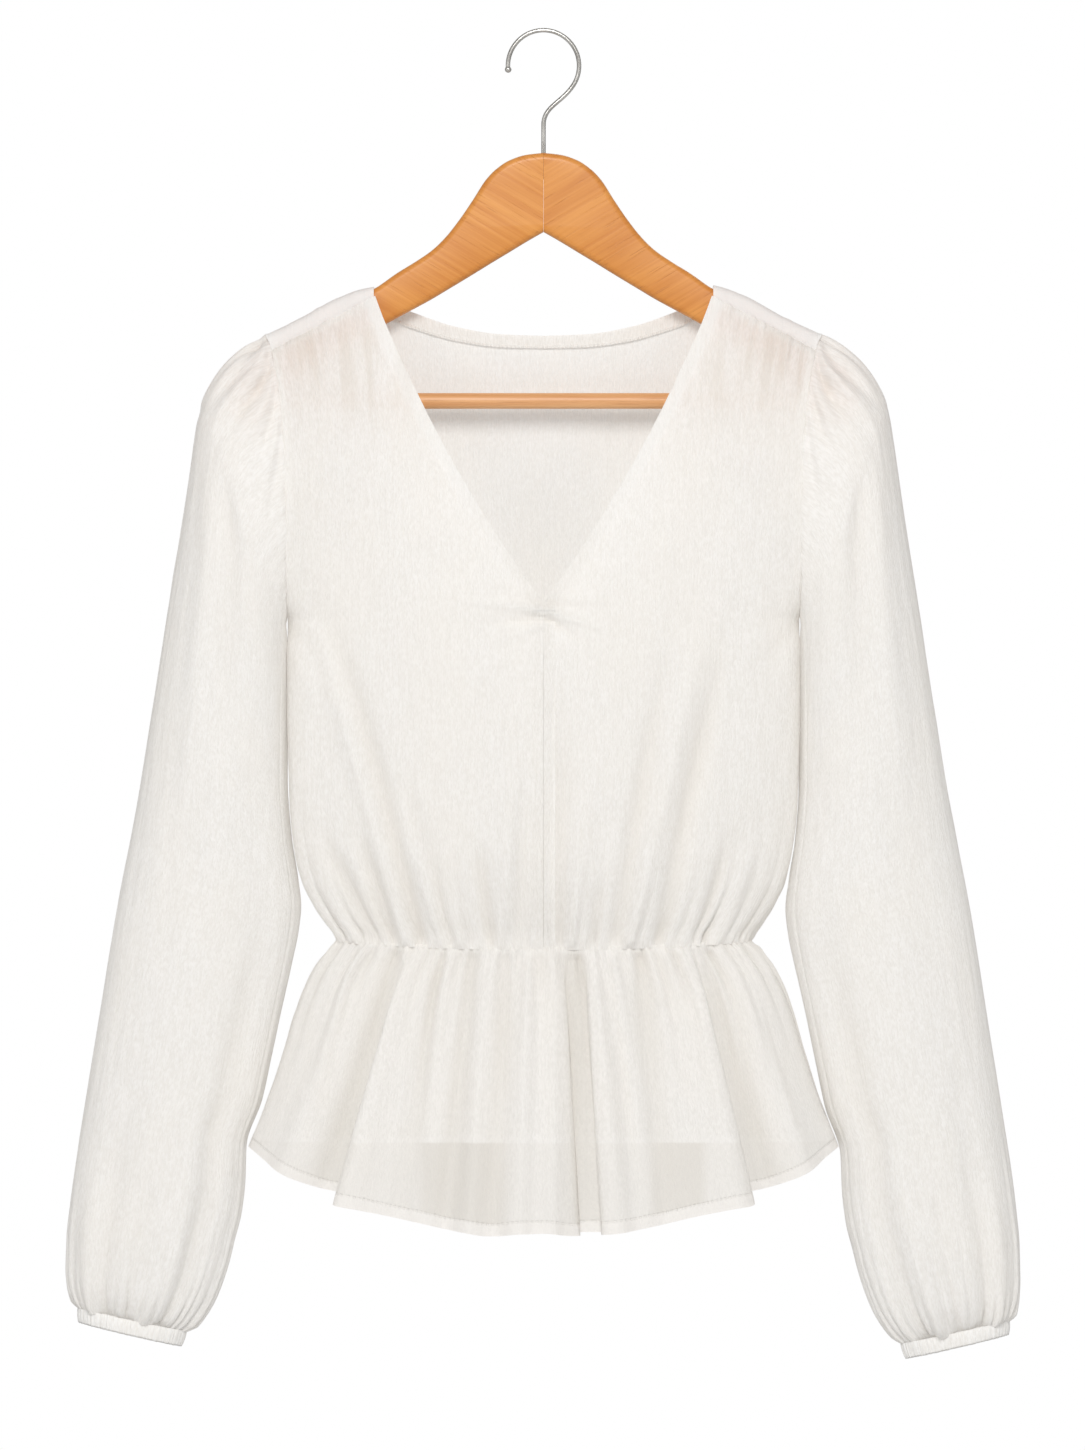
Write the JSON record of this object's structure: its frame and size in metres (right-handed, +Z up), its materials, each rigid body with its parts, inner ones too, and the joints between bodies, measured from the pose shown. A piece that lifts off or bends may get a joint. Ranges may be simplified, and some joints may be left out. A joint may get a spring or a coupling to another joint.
{
  "type": "blouse on a wooden hanger",
  "caption": "Crinkled V-neck peplum blouse with long full gathered sleeves and narrow elastic cuffs, hanging open on a wooden hanger with a trouser bar and a steel hook.",
  "frame": {"origin": "highest point inside the hook's loop, where the rail that carries the hanger lies", "axes": "+Z up, -Y the front of the blouse, +X the viewer's right"},
  "size_m": [0.6606, 0.1289, 0.9183],
  "materials": {
    "bodice_crepe": "matt crinkled crepe, slightly sheer",
    "back_crepe": "matt crinkled crepe, slightly sheer",
    "facing_crepe": "matt crinkled crepe, slightly sheer",
    "sleeve_crepe": "matt crinkled crepe, slightly sheer",
    "peplum_crepe": "matt crinkled crepe, slightly sheer",
    "cuff_crepe": "matt crinkled crepe, finely ribbed over elastic",
    "arm_wood": "satin varnish over a warm, straight grain",
    "bar_wood": "satin varnish, paler than the arms",
    "hook_steel": "polished steel wire"
  },
  "bodies": {
    "root": {"bodice_front_left": "bodice_crepe", "bodice_front_right": "bodice_crepe", "bodice_back": "back_crepe", "back_neck_facing": "facing_crepe", "sleeve_left_upper": "sleeve_crepe", "sleeve_left_middle": "sleeve_crepe", "sleeve_left_lower": "sleeve_crepe", "sleeve_right_upper": "sleeve_crepe", "sleeve_right_middle": "sleeve_crepe", "sleeve_right_lower": "sleeve_crepe", "cuff_left": "cuff_crepe", "cuff_right": "cuff_crepe", "peplum_front": "peplum_crepe", "peplum_back": "peplum_crepe", "hanger_arm_left": "arm_wood", "hanger_arm_right": "arm_wood", "trouser_bar": "bar_wood", "hanger_hook": "hook_steel"}
  },
  "joints": []
}
